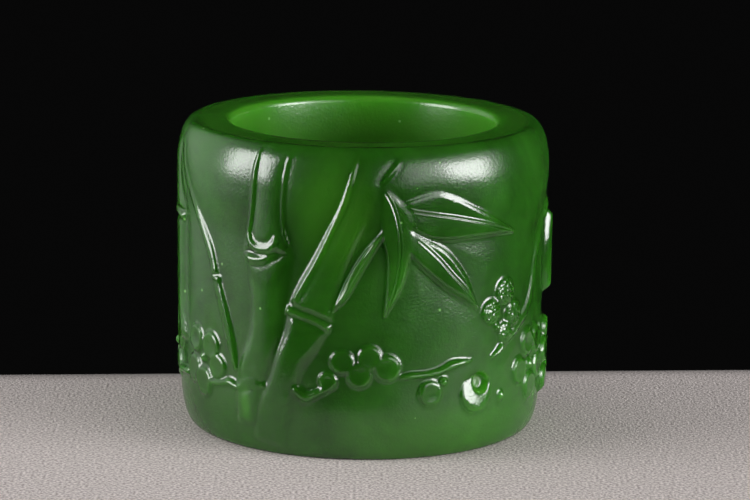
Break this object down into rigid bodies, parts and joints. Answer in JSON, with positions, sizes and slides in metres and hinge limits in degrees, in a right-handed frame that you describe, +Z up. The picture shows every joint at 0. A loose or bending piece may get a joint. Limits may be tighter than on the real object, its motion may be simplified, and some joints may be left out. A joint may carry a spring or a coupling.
{
  "type": "archer's thumb ring",
  "caption": "Barrel-shaped archer's thumb ring of green nephrite with bamboo, plum and pine carved in relief round its outside.",
  "frame": {"origin": "middle of the lower end face, on the bore's axis", "axes": "+Z up along the bore, -Y towards the side with the leaning bamboo, +X to its right"},
  "size_m": [0.0314, 0.0314, 0.0256],
  "materials": {
    "nephrite": "translucent green nephrite with a soft wet-looking polish"
  },
  "bodies": {
    "root": {"thumb_ring": "nephrite"}
  },
  "joints": []
}
